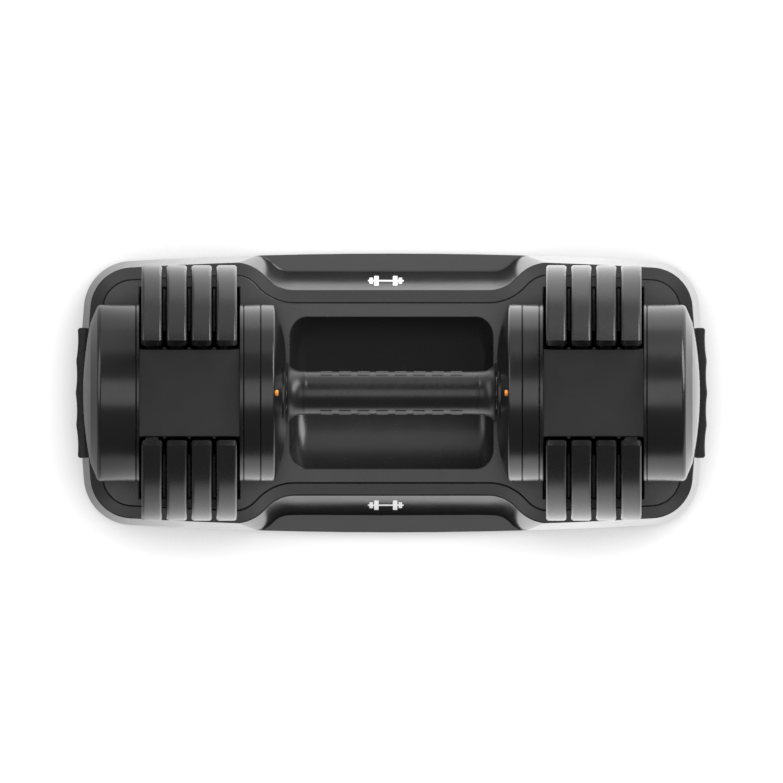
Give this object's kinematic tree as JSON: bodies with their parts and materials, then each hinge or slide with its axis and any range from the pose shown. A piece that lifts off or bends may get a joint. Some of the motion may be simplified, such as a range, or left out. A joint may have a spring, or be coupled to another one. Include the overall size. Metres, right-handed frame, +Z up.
{
  "type": "adjustable dumbbell",
  "caption": "Adjustable dumbbell with slotted round plates, docked in a waisted black plastic tray; its handle turns to select the weight.",
  "frame": {"origin": "on the floor under the middle of the tray", "axes": "+X along the handle, +Y across it, +Z up"},
  "size_m": [0.442, 0.1952, 0.1815],
  "materials": {
    "tub_plastic": "satin moulded",
    "deck_plastic": "fine moulded grain",
    "foot_rubber": "matt",
    "screw_steel": "zinc plated",
    "rod_steel": "turned",
    "tube_steel": "drawn",
    "grip_rubber": "satin with raised pads",
    "collar_plastic": "satin",
    "cover_plastic": "satin",
    "pointer_orange": "gloss",
    "frame_steel": "satin black powder coat",
    "block_plastic": "matt moulded",
    "cap_plastic": "satin",
    "nut_steel": "plated",
    "spring_steel": "polished wire",
    "lock_steel": "stamped",
    "tray_grip_rubber": "matt",
    "sleeve_steel": "turned",
    "disc_plastic": "matt with pale numerals",
    "cam_steel": "stamped",
    "plate_iron": "satin black powder coat"
  },
  "bodies": {
    "tray": {"tray_tub": "tub_plastic", "tray_deck": "deck_plastic", "tray_feet": "foot_rubber", "tray_screws": "screw_steel", "right_tray_grip": "tray_grip_rubber", "left_tray_grip": "tray_grip_rubber"},
    "dumbbell": {"core_rod": "rod_steel", "left_inner_cover": "cover_plastic", "left_pointer": "pointer_orange", "left_housing_ring": "cover_plastic", "left_inner_frame_plate": "frame_steel", "left_bridge_block": "block_plastic", "left_outer_frame_plate": "frame_steel", "left_outer_cap": "cap_plastic", "left_housing_screws": "screw_steel", "left_retaining_nut": "nut_steel", "left_detent_leaf": "spring_steel", "left_lock_spring": "spring_steel", "right_inner_cover": "cover_plastic", "right_pointer": "pointer_orange", "right_housing_ring": "cover_plastic", "right_inner_frame_plate": "frame_steel", "right_bridge_block": "block_plastic", "right_outer_frame_plate": "frame_steel", "right_outer_cap": "cap_plastic", "right_housing_screws": "screw_steel", "right_retaining_nut": "nut_steel", "right_detent_leaf": "spring_steel", "right_lock_spring": "spring_steel"},
    "selector": {"handle_tube": "tube_steel", "grip_sleeve": "grip_rubber", "left_grip_collar": "collar_plastic", "left_detent_wheel": "lock_steel", "left_selector_sleeve": "sleeve_steel", "left_number_disc": "disc_plastic", "left_lock_ring": "lock_steel", "left_selector_cam_1": "cam_steel", "left_selector_cam_2": "cam_steel", "left_selector_cam_3": "cam_steel", "left_selector_cam_4": "cam_steel", "right_grip_collar": "collar_plastic", "right_detent_wheel": "lock_steel", "right_selector_sleeve": "sleeve_steel", "right_number_disc": "disc_plastic", "right_lock_ring": "lock_steel", "right_selector_cam_1": "cam_steel", "right_selector_cam_2": "cam_steel", "right_selector_cam_3": "cam_steel", "right_selector_cam_4": "cam_steel"},
    "left_lock": {"left_lock_slider": "lock_steel"},
    "left_plate_1": {"left_weight_plate_1": "plate_iron"},
    "left_plate_2": {"left_weight_plate_2": "plate_iron"},
    "left_plate_3": {"left_weight_plate_3": "plate_iron"},
    "left_plate_4": {"left_weight_plate_4": "plate_iron"},
    "right_lock": {"right_lock_slider": "lock_steel"},
    "right_plate_1": {"right_weight_plate_1": "plate_iron"},
    "right_plate_2": {"right_weight_plate_2": "plate_iron"},
    "right_plate_3": {"right_weight_plate_3": "plate_iron"},
    "right_plate_4": {"right_weight_plate_4": "plate_iron"}
  },
  "joints": [
    {"name": "dumbbell_lift", "type": "slide", "parent": "tray", "child": "dumbbell", "axis": [0, 0, 1], "range_m": [0, 0.2]},
    {"name": "handle_turn", "type": "hinge", "parent": "dumbbell", "child": "selector", "pos_m": [0, 0, 0.1], "axis": [1, 0, 0], "range_deg": [0, 136], "deforming": ["left_detent_leaf", "right_detent_leaf"]},
    {"name": "left_lock_drop", "type": "slide", "parent": "dumbbell", "child": "left_lock", "axis": [0, 0, 1], "range_m": [-0.004, 0], "deforming": ["left_lock_spring"]},
    {"name": "left_plate_1_lift", "type": "slide", "parent": "tray", "child": "left_plate_1", "axis": [0, 0, 1], "range_m": [0, 0.2]},
    {"name": "left_plate_2_lift", "type": "slide", "parent": "tray", "child": "left_plate_2", "axis": [0, 0, 1], "range_m": [0, 0.2]},
    {"name": "left_plate_3_lift", "type": "slide", "parent": "tray", "child": "left_plate_3", "axis": [0, 0, 1], "range_m": [0, 0.2]},
    {"name": "left_plate_4_lift", "type": "slide", "parent": "tray", "child": "left_plate_4", "axis": [0, 0, 1], "range_m": [0, 0.2]},
    {"name": "right_lock_drop", "type": "slide", "parent": "dumbbell", "child": "right_lock", "axis": [0, 0, 1], "range_m": [-0.004, 0], "deforming": ["right_lock_spring"]},
    {"name": "right_plate_1_lift", "type": "slide", "parent": "tray", "child": "right_plate_1", "axis": [0, 0, 1], "range_m": [0, 0.2]},
    {"name": "right_plate_2_lift", "type": "slide", "parent": "tray", "child": "right_plate_2", "axis": [0, 0, 1], "range_m": [0, 0.2]},
    {"name": "right_plate_3_lift", "type": "slide", "parent": "tray", "child": "right_plate_3", "axis": [0, 0, 1], "range_m": [0, 0.2]},
    {"name": "right_plate_4_lift", "type": "slide", "parent": "tray", "child": "right_plate_4", "axis": [0, 0, 1], "range_m": [0, 0.2]}
  ],
  "couplings": [
    {"joint": "left_lock_drop", "follows": "dumbbell_lift", "ratio": -0.02},
    {"joint": "left_plate_1_lift", "follows": "dumbbell_lift", "ratio": 1},
    {"joint": "left_plate_2_lift", "follows": "dumbbell_lift", "ratio": 1},
    {"joint": "left_plate_3_lift", "follows": "dumbbell_lift", "ratio": 1},
    {"joint": "left_plate_4_lift", "follows": "dumbbell_lift", "ratio": 1},
    {"joint": "right_lock_drop", "follows": "dumbbell_lift", "ratio": -0.02},
    {"joint": "right_plate_1_lift", "follows": "dumbbell_lift", "ratio": 1},
    {"joint": "right_plate_2_lift", "follows": "dumbbell_lift", "ratio": 1},
    {"joint": "right_plate_3_lift", "follows": "dumbbell_lift", "ratio": 1},
    {"joint": "right_plate_4_lift", "follows": "dumbbell_lift", "ratio": 1}
  ]
}
